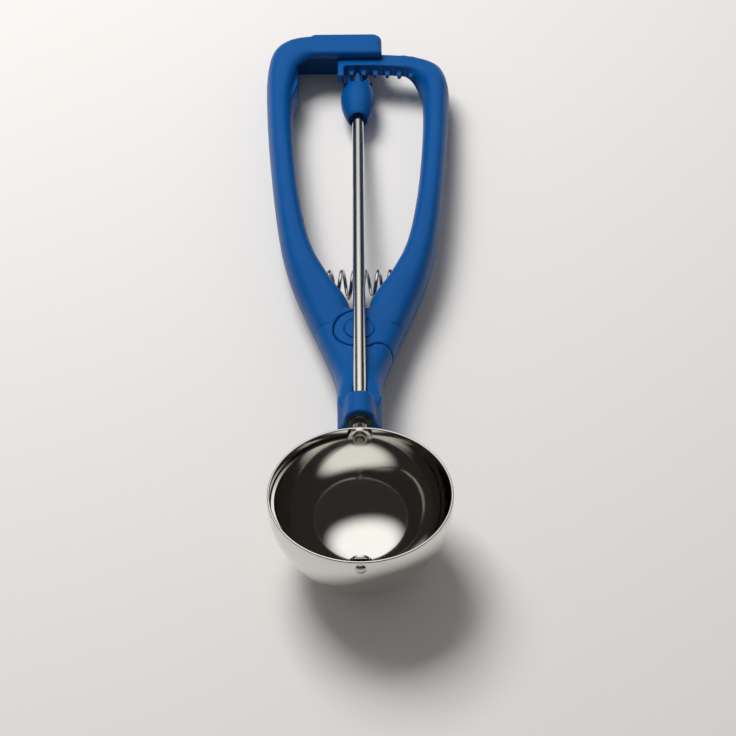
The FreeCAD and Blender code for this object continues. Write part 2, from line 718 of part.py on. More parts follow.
def crown_tooth(angle):
    """Return one crown tooth, a tapered bar that stands on the cap's top at an angle about the rod."""
    base_y = CAP_BODY_Y + CAP_BODY_LEN - 1
    tip_y = PIVOT_Y + RACK_ROOT_R - CROWN_BACKLASH
    half_root = CROWN_ROOT_W / 2
    half_tip = CROWN_TIP_W / 2
    outline = [(-half_root, base_y), (half_root, base_y), (half_tip, tip_y), (-half_tip, tip_y)]
    tooth = prism(outline, 0, CROWN_OUT_R + 1)
    tooth.rotate(Vec(0, 0, 0), Vec(0, 1, 0), angle)
    return tooth.common(ring(CROWN_OUT_R, CROWN_IN_R, base_y, tip_y))


def pinion_cap():
    """Return the toothed cap on the rod's end."""
    body = cap_profile().revolve(Vec(0, 0, 0), Vec(0, 1, 0), 360)
    for index in range(PINION_TEETH):
        body = body.fuse(crown_tooth(360 * index / PINION_TEETH))
    body = body.cut(along_y(ROD_R + SEAT, CAP_BODY_Y, CAP_BODY_Y + CAP_BORE_LEN))
    body = body.cut(along_y(CAP_MOUTH_R, CAP_BODY_Y, CAP_BODY_Y + CAP_MOUTH_DEPTH))
    return body.removeSplitter()


def helix_point(turn):
    """Return the spring's centre line point and its direction after a number of turns."""
    angle = 2 * math.pi * turn
    x = (turn - SPRING_TURNS / 2) * SPRING_PITCH
    point = Vec(x, SPRING_Y + SPRING_COIL_R * math.cos(angle), SPRING_Z + SPRING_COIL_R * math.sin(angle))
    rate = 2 * math.pi * SPRING_COIL_R
    direction = Vec(SPRING_PITCH, -rate * math.sin(angle), rate * math.cos(angle))
    return point, direction.normalize()


def tangent_arc(start, knee, end):
    """Return the arc from start to end whose tangents meet at the knee."""
    middle = (start + end) / 2
    half_chord = start.distanceToPoint(end) / 2
    height = middle.distanceToPoint(knee)
    sagitta = half_chord * math.tan(math.atan2(height, half_chord) / 2)
    return Part.Arc(start, middle + (knee - middle) * (sagitta / height), end).toShape()


def biarc(start, start_dir, end, end_dir):
    """Return two tangent arcs that join two points in two given directions."""
    span = end - start
    both = start_dir + end_dir
    spread = 2 * (1 - start_dir.dot(end_dir))
    reach = (-span.dot(both) + math.sqrt(span.dot(both) ** 2 + spread * span.dot(span))) / spread
    first_knee = start + start_dir * reach
    last_knee = end - end_dir * reach
    join = (first_knee + last_knee) / 2
    return [tangent_arc(start, first_knee, join), tangent_arc(join, last_knee, end)]


def return_spring():
    """Return the coil spring as one tube along quarter-turn biarcs."""
    quarters = int(round(SPRING_TURNS * 4))
    stations = [helix_point(i / 4) for i in range(quarters + 1)]
    edges = []
    for (start, start_dir), (end, end_dir) in zip(stations, stations[1:]):
        edges.extend(biarc(start, start_dir, end, end_dir))
    path = Part.Wire(edges)
    start, direction = stations[0]
    profile = Part.Wire([Part.Circle(start, direction, SPRING_WIRE_R).toShape()])
    report_spring_gap(edges)
    return path.makePipeShell([profile], True, False)


def report_spring_gap(edges):
    """Print the least gap between the spring's turns, measured on points of its centre line."""
    per_edge = 12
    points = []
    for edge in edges:
        points.extend(edge.discretize(per_edge)[:-1])
    half_turn = per_edge * 4
    least = FAR
    for i, point in enumerate(points):
        for other in points[i + half_turn:]:
            least = min(least, point.distanceToPoint(other))
    print("spring: least gap to itself %.2f mm" % (least - 2 * SPRING_WIRE_R))


def tilt():
    """Return the angle between the rod and the table, from the bowl and the resting corners."""
    reach = math.hypot(REST_Y, REST_Z)
    return math.degrees(math.asin(BOWL_R / reach) - math.atan2(-REST_Z, REST_Y))


def pieces():
    """Return every piece by name, in the working frame."""
    return {
        "fixed_handle": fixed_handle(),
        "lever_handle": lever_handle(),
        "pivot_pin": pivot_pin(),
        "pivot_bush": pivot_bush(),
        "pivot_cap": pivot_cap(),
        "pivot_washer": pivot_washer(),
        "return_spring": return_spring(),
        "bowl": bowl(),
        "bowl_bracket": bowl_bracket(),
        "bracket_rivets": bracket_rivet_cuts(BRACKET_RIVET_R),
        "scraper_blade": scraper_blade(),
        "front_rivet": front_rivet(),
        "front_washer": front_washer(),
        "rear_washer": rear_washer(),
        "drive_rod": drive_rod(),
        "rod_circlip": rod_circlip(),
        "rod_bush_upper": rod_bush(ROOF_END_Y, -1),
        "rod_bush_lower": rod_bush(NECK_Y, 1),
        "pinion_cap": pinion_cap(),
    }


def lay_on_table(shapes):
    """Tilt the shapes about X and move them so that the origin is under their middle."""
    for shape in shapes.values():
        shape.rotate(Vec(0, 0, 0), Vec(1, 0, 0), -tilt())
    box = Part.makeCompound(list(shapes.values())).optimalBoundingBox(False)
    shift = Vec(-box.Center.x, -box.Center.y, BOWL_R)
    for shape in shapes.values():
        shape.translate(shift)
    print("tilt %.4f deg, working frame's origin at %.4f, %.4f, %.4f mm" % (tilt(), shift.x, shift.y, shift.z))
    print("size %.2f x %.2f x %.2f mm" % (box.XLength, box.YLength, box.ZLength))


def main():
    """Build, lay down and write every piece."""
    os.makedirs("parts", exist_ok=True)
    shapes = pieces()
    lay_on_table(shapes)
    for name, shape in shapes.items():
        solids = len(shape.Solids)
        print("%-16s %d solid(s), %9.1f mm3, valid %s" % (name, solids, shape.Volume, shape.isValid()))
        shape.exportStep("parts/%s.step" % name)


main()
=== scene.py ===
"""Lever ice cream scoop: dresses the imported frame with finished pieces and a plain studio."""

import logging
import math
from dataclasses import dataclass, field
from enum import Enum

import bmesh
import bpy
from mathutils import Matrix, Vector

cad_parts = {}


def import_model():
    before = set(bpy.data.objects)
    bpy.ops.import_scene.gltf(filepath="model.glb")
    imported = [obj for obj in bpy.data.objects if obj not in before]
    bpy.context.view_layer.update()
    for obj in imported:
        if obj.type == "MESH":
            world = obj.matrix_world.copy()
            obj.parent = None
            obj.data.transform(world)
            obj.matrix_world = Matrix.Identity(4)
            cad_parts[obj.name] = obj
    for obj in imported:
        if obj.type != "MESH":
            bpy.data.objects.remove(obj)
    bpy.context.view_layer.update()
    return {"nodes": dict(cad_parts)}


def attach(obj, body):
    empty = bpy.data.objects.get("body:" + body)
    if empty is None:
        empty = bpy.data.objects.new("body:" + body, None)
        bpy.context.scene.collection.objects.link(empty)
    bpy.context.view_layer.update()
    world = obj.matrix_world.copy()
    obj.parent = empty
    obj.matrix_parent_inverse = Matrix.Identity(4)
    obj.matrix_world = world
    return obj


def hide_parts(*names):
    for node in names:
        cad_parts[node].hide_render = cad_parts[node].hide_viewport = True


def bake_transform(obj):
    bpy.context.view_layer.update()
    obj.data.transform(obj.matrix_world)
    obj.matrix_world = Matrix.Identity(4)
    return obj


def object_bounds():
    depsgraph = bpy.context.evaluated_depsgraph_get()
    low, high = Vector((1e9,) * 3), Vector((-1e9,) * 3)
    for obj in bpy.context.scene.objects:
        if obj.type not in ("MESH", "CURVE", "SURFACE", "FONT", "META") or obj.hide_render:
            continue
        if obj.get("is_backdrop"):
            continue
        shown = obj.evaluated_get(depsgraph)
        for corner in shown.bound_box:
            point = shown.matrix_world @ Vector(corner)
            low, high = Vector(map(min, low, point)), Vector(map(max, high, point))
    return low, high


LOG = logging.getLogger("scoop")
MM = 0.001
SHARP_ANGLE = math.radians(32)
MERGE_GAP = 0.002 * MM
ON_AXIS = 1e-6
Point = tuple[float, float, float]
Colour = tuple[float, float, float, float]
Profile = list[tuple[float, float]]
Nodes = dict[str, bpy.types.Object]


class Body(Enum):
    """The three rigid bodies of the frame."""

    FRAME = "frame"
    LEVER = "lever"
    DRIVE = "drive"


class Slot(Enum):
    """The record's material slots."""

    PLASTIC = "blue_plastic"
    POLISHED = "polished_steel"
    SATIN = "satin_steel"
    SPRING = "spring_steel"
    NYLON = "dark_nylon"


class Spin(Enum):
    """The axes that turned pieces and repeated teeth go round."""

    BOWL = "bowl"
    ROD = "rod"
    PIVOT = "pivot"


@dataclass(frozen=True)
class ScoopFrame:
    """The scoop's own frame, in mm from the bowl's centre, and its place on the table."""

    tilt: float = math.radians(6.2945)
    shift: Point = (0.0, -87.8343, 26.0)
    pivot_y: float = 73.0

    def turn(self) -> Matrix:
        """Returns the turn from the scoop's frame to the table's."""
        return Matrix.Rotation(-self.tilt, 3, "X")

    def matrix(self) -> Matrix:
        """Returns the whole change from the scoop's mm to the table's metres."""
        place = Matrix.Translation(Vector(self.shift) * MM)
        return place @ self.turn().to_4x4() @ Matrix.Scale(MM, 4)

    def spin_turn(self, spin: Spin) -> Matrix:
        """Returns the turn that lays a Z axis along the given axis, in the scoop's frame."""
        if spin is Spin.ROD:
            return Matrix.Rotation(-math.pi / 2, 3, "X")
        return Matrix.Identity(3)

    def spin_centre(self, spin: Spin) -> Vector:
        """Returns a point of the given axis, in mm in the scoop's frame."""
        return Vector((0, self.pivot_y if spin is Spin.PIVOT else 0, 0))

    def spin_matrix(self, spin: Spin) -> Matrix:
        """Returns the change from a turned piece's own frame to the table's metres."""
        place = Matrix.Translation(self.spin_centre(spin))
        return self.matrix() @ place @ self.spin_turn(spin).to_4x4()

    def to_spin(self, spin: Spin) -> Matrix:
        """Returns the change from table metres to metres about the given axis."""
        return Matrix.Scale(MM, 4) @ self.spin_matrix(spin).inverted()


FRAME = ScoopFrame()


class NodeBoard:
    """A node tree with short calls to add and join nodes."""

    def __init__(self, tree: bpy.types.NodeTree) -> None:
        """Keeps the tree."""
        self.tree = tree

    def add(self, kind: str, inputs: dict | None = None, **settings: object) -> bpy.types.Node:
        """Adds a node.

        Args:
            kind: The node's type.
            inputs: Values or sockets by input name or number.
            **settings: The node's own properties.

        Returns:
            The new node.
        """
        node = self.tree.nodes.new(kind)
        for name, value in settings.items():
            setattr(node, name, value)
        for name, value in (inputs or {}).items():
            self.give(node, name, value)
        return node

    def give(self, node: bpy.types.Node, name: str | int, value: object) -> None:
        """Gives a node's input a value, or joins a socket to it."""
        if isinstance(value, bpy.types.NodeSocket):
            self.join(value, node, name)
        else:
            node.inputs[name].default_value = value

    def join(self, value: bpy.types.NodeSocket, node: bpy.types.Node, name: str | int) -> None:
        """Joins a socket to a node's input."""
        self.tree.links.new(value, node.inputs[name])

    def vector(self, operation: str, inputs: dict) -> bpy.types.NodeSocket:
        """Returns the vector of a vector math node."""
        return self.add("ShaderNodeVectorMath", inputs, operation=operation).outputs[0]

    def math(self, operation: str, first: object, second: object = 0.0) -> bpy.types.NodeSocket:
        """Returns the result of a math node on two values or sockets."""
        node = self.add("ShaderNodeMath", {0: first, 1: second}, operation=operation)
        return node.outputs[0]

    def span(self, value: object, low: float, high: float) -> bpy.types.NodeSocket:
        """Returns a 0 to 1 value spread from low to high."""
        node = self.add("ShaderNodeMapRange", {"Value": value, "To Min": low, "To Max": high})
        return node.outputs["Result"]

    def mix(self, share: object, first: object, second: object) -> bpy.types.NodeSocket:
        """Returns the mix of two colours."""
        node = self.add("ShaderNodeMix", data_type="RGBA")
        for index, value in ((0, share), (6, first), (7, second)):
            self.give(node, index, value)
        return node.outputs[2]

    def place(self) -> bpy.types.NodeSocket:
        """Returns the place on the object, the coordinate of every finish."""
        return self.add("ShaderNodeTexCoord").outputs["Object"]

    def noise(
        self, vector: bpy.types.NodeSocket, size: float, detail: float
    ) -> bpy.types.NodeSocket:
        """Returns a noise value whose features are about size metres wide."""
        inputs = {"Vector": vector, "Scale": 1 / size, "Detail": detail}
        return self.add("ShaderNodeTexNoise", inputs).outputs["Fac"]

    def mix_shader(self, share: object, first: object, second: object) -> bpy.types.NodeSocket:
        """Returns the mix of two shaders."""
        return self.add("ShaderNodeMixShader", {0: share, 1: first, 2: second}).outputs[0]


def linear(red: int, green: int, blue: int) -> Colour:
    """Returns a colour given in screen bytes as linear values."""
    parts = [c / 255 for c in (red, green, blue)]
    low = [c / 12.92 if c <= 0.04045 else ((c + 0.055) / 1.055) ** 2.4 for c in parts]
    return (*low, 1.0)


@dataclass(frozen=True)
class Finish:
    """What every finish has: its name, colour, roughness and how deep its clouds are."""

    name: str
    slot: Slot
    colour: Colour
    roughness: float
    gloss: float = 0.5
    metal: float = 0.0
    shade: float = 0.9
    relief: float = 0.5

    def start(self) -> tuple[bpy.types.Material, NodeBoard, bpy.types.Node]:
        """Returns a new material, its board and its shader."""
        material = bpy.data.materials.new(self.name)
        material.use_nodes = True
        board = NodeBoard(material.node_tree)
        shader = material.node_tree.nodes["Principled BSDF"]
        shader.inputs["Base Color"].default_value = self.colour
        shader.inputs["Roughness"].default_value = self.roughness
        shader.inputs["Specular IOR Level"].default_value = self.gloss
        shader.inputs["Metallic"].default_value = self.metal
        material.diffuse_color = self.colour
        return material, board, shader

    def clouded(self, board: NodeBoard, cloud: bpy.types.NodeSocket) -> bpy.types.NodeSocket:
        """Returns the colour, darker where the cloud is thin."""
        deep = tuple(c * self.shade for c in self.colour[:3]) + (1.0,)
        return board.mix(cloud, deep, self.colour)

    def bump(
        self, board: NodeBoard, shader: bpy.types.Node, height: object, depth: float
    ) -> None:
        """Puts a bump of a height value on the shader.

        Args:
            board: The material's board.
            shader: The shader that gets the bump.
            height: The socket of the height.
            depth: How deep the relief is, in metres.
        """
        inputs = {"Height": height, "Distance": depth, "Strength": self.relief}
        node = board.add("ShaderNodeBump", inputs)
        board.join(node.outputs["Normal"], shader, "Normal")


@dataclass(frozen=True)
class MouldedPlastic(Finish):
    """Satin moulded plastic with a fine spark grain and slightly paler worn edges."""

    shade: float = 0.92
    relief: float = 0.6
    grain: float = 0.00022
    grain_depth: float = 0.000012
    cloud: float = 0.018
    worn: Colour = linear(70, 125, 190)
    worn_edge: tuple[float, float] = (0.54, 0.64)
    worn_share: float = 0.3
    sheen: tuple[float, float] = (-0.05, 0.06)

    def make(self) -> bpy.types.Material:
        """Returns the material."""
        material, board, shader = self.start()
        place = board.place()
        body = self.clouded(board, board.noise(place, self.cloud, 3))
        edge = board.add("ShaderNodeNewGeometry").outputs["Pointiness"]
        rub = board.add("ShaderNodeMapRange", {
            "Value": edge, "From Min": self.worn_edge[0], "From Max": self.worn_edge[1],
            "To Max": self.worn_share})
        patch = board.noise(place, self.cloud / 5, 4)
        share = board.math("MULTIPLY", rub.outputs["Result"], patch)
        board.join(board.mix(share, body, self.worn), shader, "Base Color")
        low, high = (self.roughness + step for step in self.sheen)
        sheen = board.span(board.noise(place, self.cloud / 3, 5), low, high)
        board.join(sheen, shader, "Roughness")
        self.bump(board, shader, board.noise(place, self.grain, 3), self.grain_depth)
        return material


@dataclass(frozen=True)
class TurnedSteel(Finish):
    """Polished steel with faint lines from the lathe or buffing wheel round its axis."""

    metal: float = 1.0
    shade: float = 0.94
    spin: Spin = Spin.BOWL
    line: float = 0.00012
    line_depth: float = 0.0000015
    line_share: float = 0.4
    smear: float = 0.006
    sheen: tuple[float, float] = (0.6, 1.4)

    def make(self) -> bpy.types.Material:
        """Returns the material."""
        material, board, shader = self.start()
        place = board.place()
        own = FRAME.to_spin(self.spin)
        near = board.add("ShaderNodeMapping", {
            "Vector": place, "Location": own.to_translation(), "Rotation": own.to_euler("XYZ")})
        split = board.add("ShaderNodeSeparateXYZ", {"Vector": near.outputs["Vector"]}).outputs
        across = board.math("MULTIPLY", split["X"], split["X"])
        along = board.math("MULTIPLY", split["Y"], split["Y"])
        radius = board.math("SQRT", board.math("ADD", across, along))
        lathe = board.add("ShaderNodeCombineXYZ", {"X": radius, "Y": split["Z"]})
        lines = board.noise(lathe.outputs["Vector"], self.line, 3)
        smear = board.noise(place, self.smear, 4)
        board.join(self.clouded(board, smear), shader, "Base Color")
        from_lines = board.math("MULTIPLY", lines, self.line_share)
        from_smear = board.math("MULTIPLY", smear, 1 - self.line_share)
        low, high = (self.roughness * share for share in self.sheen)
        sheen = board.span(board.math("ADD", from_lines, from_smear), low, high)
        board.join(sheen, shader, "Roughness")
        self.bump(board, shader, lines, self.line_depth)
        return material


@dataclass(frozen=True)
class PressedSteel(Finish):
    """Steel sheet or wire with fine grain drawn one way by stretched noise."""

    metal: float = 1.0
    shade: float = 0.85
    stretch: Point = (1.0, 1.0, 0.08)
    grain: float = 0.0003
    grain_depth: float = 0.000004
    cloud: float = 0.0075
    sheen: tuple[float, float] = (0.7, 1.4)

    def make(self) -> bpy.types.Material:
        """Returns the material."""
        material, board, shader = self.start()
        place = board.place()
        drawn = board.add("ShaderNodeMapping", {"Vector": place, "Scale": self.stretch})
        grain = board.noise(drawn.outputs["Vector"], self.grain, 4)
        board.join(self.clouded(board, board.noise(place, self.cloud, 3)), shader, "Base Color")
        low, high = (self.roughness * share for share in self.sheen)
        board.join(board.span(grain, low, high), shader, "Roughness")
        self.bump(board, shader, grain, self.grain_depth)
        return material


@dataclass(frozen=True)
class Nylon(Finish):
    """Dark bearing plastic with a fine cloud."""

    grain: float = 0.0004
    grain_depth: float = 0.00001
    cloud: float = 0.0024
    sheen: tuple[float, float] = (0.4, 0.6)

    def make(self) -> bpy.types.Material:
        """Returns the material."""
        material, board, shader = self.start()
        place = board.place()
        board.join(self.clouded(board, board.noise(place, self.cloud, 3)), shader, "Base Color")
        grain = board.noise(place, self.grain, 3)
        board.join(board.span(grain, *self.sheen), shader, "Roughness")
        self.bump(board, shader, grain, self.grain_depth)
        return material


@dataclass(frozen=True)
class MattPaper(Finish):
    """The table's pale matt paper, with a faint cloud and tooth."""

    shade: float = 0.985
    relief: float = 0.3
    tooth: float = 0.0012
    tooth_depth: float = 0.00002
    cloud: float = 0.4

    def make(self) -> bpy.types.Material:
        """Returns the material."""
        material, board, shader = self.start()
        place = board.place()
        board.join(self.clouded(board, board.noise(place, self.cloud, 2)), shader, "Base Color")
        self.bump(board, shader, board.noise(place, self.tooth, 3), self.tooth_depth)
        return material


BLUE_PLASTIC = MouldedPlastic("moulded_blue", Slot.PLASTIC, linear(3, 80, 147), 0.4, gloss=0.22)
BOWL_STEEL = TurnedSteel("buffed_bowl_steel", Slot.POLISHED, (0.74, 0.73, 0.70, 1), 0.07)
ROD_STEEL = TurnedSteel(
    "ground_rod_steel", Slot.SATIN, (0.78, 0.76, 0.73, 1), 0.16,
    spin=Spin.ROD, line=0.00025, line_depth=0.000004)
PIVOT_STEEL = TurnedSteel(
    "turned_pivot_steel", Slot.SATIN, (0.60, 0.58, 0.55, 1), 0.3, spin=Spin.PIVOT)
BLADE_STEEL = PressedSteel(
    "rolled_blade_steel", Slot.POLISHED, (0.72, 0.70, 0.66, 1), 0.09, grain_depth=0.000001)
SHEET_STEEL = PressedSteel("pressed_bracket_steel", Slot.SATIN, (0.58, 0.57, 0.55, 1), 0.32)
WIRE_STEEL = PressedSteel(
    "drawn_spring_wire", Slot.SPRING, (0.70, 0.68, 0.65, 1), 0.16, stretch=(0.15, 1.0, 1.0))
BLACK_STEEL = PressedSteel("blackened_clip_steel", Slot.SATIN, (0.10, 0.10, 0.10, 1), 0.35)
BUSH_NYLON = Nylon("bush_nylon", Slot.NYLON, (0.02, 0.02, 0.022, 1), 0.5)
TABLE_PAPER = MattPaper("table_paper", Slot.NYLON, linear(233, 230, 227), 0.9, gloss=0.15)


class Workshop:
    """Builds meshes, keeps one material for each finish and hands over finished pieces."""

    def __init__(self) -> None:
        """Starts with no material made."""
        self.made: dict[str, bpy.types.Material] = {}

    def material(self, finish: Finish) -> bpy.types.Material:
        """Returns the material of a finish, made once."""
        if finish.name not in self.made:
            self.made[finish.name] = finish.make()
        return self.made[finish.name]

    def link(self, name: str, mesh: bpy.types.Mesh) -> bpy.types.Object:
        """Returns a new object in the scene that holds the mesh."""
        piece = bpy.data.objects.new(name, mesh)
        bpy.context.scene.collection.objects.link(piece)
        return piece

    def plain(self, name: str, shape: bmesh.types.BMesh) -> bpy.types.Object:
        """Returns a shape as an object, just as it is. The shape is freed."""
        mesh = bpy.data.meshes.new(name)
        shape.to_mesh(mesh)
        shape.free()
        return self.link(name, mesh)

    def from_bmesh(
        self, name: str, shape: bmesh.types.BMesh, place: Matrix | None = None
    ) -> bpy.types.Object:
        """Turns a shape into an object with smooth faces, sharp corners and outward normals.

        Args:
            name: The piece's name.
            shape: The shape, which is freed.
            place: A change to apply to it first.

        Returns:
            The new object.
        """
        if place is not None:
            shape.transform(place)
        bmesh.ops.recalc_face_normals(shape, faces=shape.faces)
        piece = self.plain(name, shape)
        self.shade(piece.data)
        return piece

    def shade(self, mesh: bpy.types.Mesh) -> None:
        """Makes all faces smooth and all true corners sharp."""
        mesh.polygons.foreach_set("use_smooth", [True] * len(mesh.polygons))
        mesh.set_sharp_from_angle(angle=SHARP_ANGLE)

    def lathe(self, name: str, profile: Profile, spin: Spin, steps: int) -> bpy.types.Object:
        """Turns a profile about an axis.

        Args:
            name: The piece's name.
            profile: Points of radius and height, in mm along the axis.
            spin: The axis.
            steps: How many steps go round.

        Returns:
            The turned object.
        """
        shape = bmesh.new()
        rings = []
        turns = [2 * math.pi * i / steps for i in range(steps)]
        for r, height in profile:
            if r < ON_AXIS:
                rings.append([shape.verts.new((0, 0, height))] * steps)
                continue
            spots = [(r * math.cos(a), r * math.sin(a), height) for a in turns]
            rings.append([shape.verts.new(spot) for spot in spots])
        for low, high in zip(rings, rings[1:]):
            for i in range(steps):
                j = (i + 1) % steps
                around = dict.fromkeys((low[i], low[j], high[j], high[i]))
                shape.faces.new(list(around))
        return self.from_bmesh(name, shape, FRAME.spin_matrix(spin))

    def merged(self, node: bpy.types.Object) -> bmesh.types.BMesh:
        """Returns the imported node's triangles as one joined shape."""
        shape = bmesh.new()
        shape.from_mesh(node.data)
        bmesh.ops.remove_doubles(shape, verts=shape.verts, dist=MERGE_GAP)
        return shape

    def settle(self, piece: bpy.types.Object) -> None:
        """Applies the piece's modifiers to its mesh."""
        bpy.context.view_layer.update()
        graph = bpy.context.evaluated_depsgraph_get()
        final = bpy.data.meshes.new_from_object(piece.evaluated_get(graph), depsgraph=graph)
        final.name = piece.name
        piece.modifiers.clear()
        piece.data = final

    def finish(self, piece: bpy.types.Object, finish: Finish) -> None:
        """Gives the whole piece one finish."""
        piece.data.materials.clear()
        piece.data.materials.append(self.material(finish))
        piece.data.polygons.foreach_set("material_index", [0] * len(piece.data.polygons))

    def hand_over(self, piece: bpy.types.Object, finish: Finish, body: Body, node: str) -> None:
        """Dresses a piece, rides it on its body and says which node it stands for."""
        self.finish(piece, finish)
        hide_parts(node)
        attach(piece, body.value)
        LOG.info("%s on %s for %s", piece.name, body.value, node)


def open_group(
    name: str, inputs: dict[str, str]
) -> tuple[NodeBoard, bpy.types.NodeOutputs, dict[str, str]]:
    """Starts a Geometry Nodes tree.

    Args:
        name: The tree's name.
        inputs: The kind of each input's socket by the input's name.

    Returns:
        The tree's board, its inputs and the identifier of each input by name.
    """
    tree = bpy.data.node_groups.new(name, "GeometryNodeTree")
    ways = {}
    for label, kind in inputs.items():
        made = tree.interface.new_socket(name=label, in_out="INPUT", socket_type=kind)
        ways[label] = made.identifier
    tree.interface.new_socket(
        name="Geometry", in_out="OUTPUT", socket_type="NodeSocketGeometry")
    board = NodeBoard(tree)
    return board, board.add("NodeGroupInput").outputs, ways


def close_group(board: NodeBoard, shape: bpy.types.NodeSocket, finish: object) -> None:
    """Makes the shape real, gives it its finish and sends it out of the tree."""
    real = board.add("GeometryNodeRealizeInstances", {"Geometry": shape}).outputs[0]
    dressed = board.add("GeometryNodeSetMaterial", {"Geometry": real, "Material": finish})
    board.add("NodeGroupOutput", {"Geometry": dressed.outputs[0]})


class Repeater:
    """Geometry Nodes tree that repeats a mesh about an axis parallel to Z or Y."""

    INPUTS = {
        "Geometry": "NodeSocketGeometry", "Count": "NodeSocketInt",
        "First Angle": "NodeSocketFloat", "Step Angle": "NodeSocketFloat",
        "Centre": "NodeSocketVector", "Finish": "NodeSocketMaterial"}

    def __init__(self, name: str, spin: Spin) -> None:
        """Builds the nodes: points on the axis, one turned copy on each, made real."""
        board, given, self.ways = open_group(name, self.INPUTS)
        self.tree = board.tree
        points = board.add("GeometryNodePoints", {
            "Count": given["Count"], "Position": given["Centre"]})
        index = board.add("GeometryNodeInputIndex").outputs[0]
        turned = board.math("MULTIPLY", index, given["Step Angle"])
        angle = board.math("ADD", turned, given["First Angle"])
        axis = "Y" if spin is Spin.ROD else "Z"
        euler = board.add("ShaderNodeCombineXYZ", {axis: angle}).outputs[0]
        turn = board.add("FunctionNodeEulerToRotation", {"Euler": euler}).outputs[0]
        back = board.vector("SCALE", {0: given["Centre"], "Scale": -1.0})
        own = board.add("GeometryNodeTransform", {
            "Geometry": given["Geometry"], "Translation": back}).outputs[0]
        copies = board.add("GeometryNodeInstanceOnPoints", {
            "Points": points.outputs[0], "Instance": own, "Rotation": turn})
        close_group(board, copies.outputs[0], given["Finish"])

    def apply(self, shop: Workshop, piece: bpy.types.Object, values: dict[str, object]) -> None:
        """Repeats a piece's mesh.

        Args:
            shop: The workshop.
            piece: The object that holds one copy, in the scoop's mm.
            values: The tree's inputs by name.
        """
        modifier = piece.modifiers.new("repeat", "NODES")
        modifier.node_group = self.tree
        for name, value in values.items():
            modifier[self.ways[name]] = value
        shop.settle(piece)


@dataclass
class ToothBar:
    """A tapered bar with eased edges, the shape of one tooth."""

    root_w: float
    tip_w: float
    root_h: float
    tip_h: float
    low: float
    high: float
    ease: float = 0.12
    ease_steps: int = 2

    def shape(self, upright: bool) -> bmesh.types.BMesh:
        """Builds the bar.

        Args:
            upright: True for a rack tooth, which spans Z, and False for a crown tooth, on X.

        Returns:
            The bar in the scoop's mm, its length along Y.
        """
        shape = bmesh.new()
        corners = []
        root, tip = self.root_w / 2, self.tip_w / 2
        low, high = self.root_h, self.tip_h
        outline = ((-root, low), (root, low), (tip, high), (-tip, high))
        for depth in (self.low, self.high):
            for across, height in outline:
                spot = (across, height, depth) if upright else (depth, height, across)
                corners.append(shape.verts.new(spot))
        front, back = corners[:4], corners[4:]
        shape.faces.new(front)
        shape.faces.new(back)
        for i in range(4):
            j = (i + 1) % 4
            shape.faces.new((front[i], front[j], back[j], back[i]))
        bmesh.ops.recalc_face_normals(shape, faces=shape.faces)
        bmesh.ops.bevel(
            shape, geom=list(shape.edges), offset=self.ease, segments=self.ease_steps,
            affect="EDGES", profile=0.5, clamp_overlap=True)
        return shape


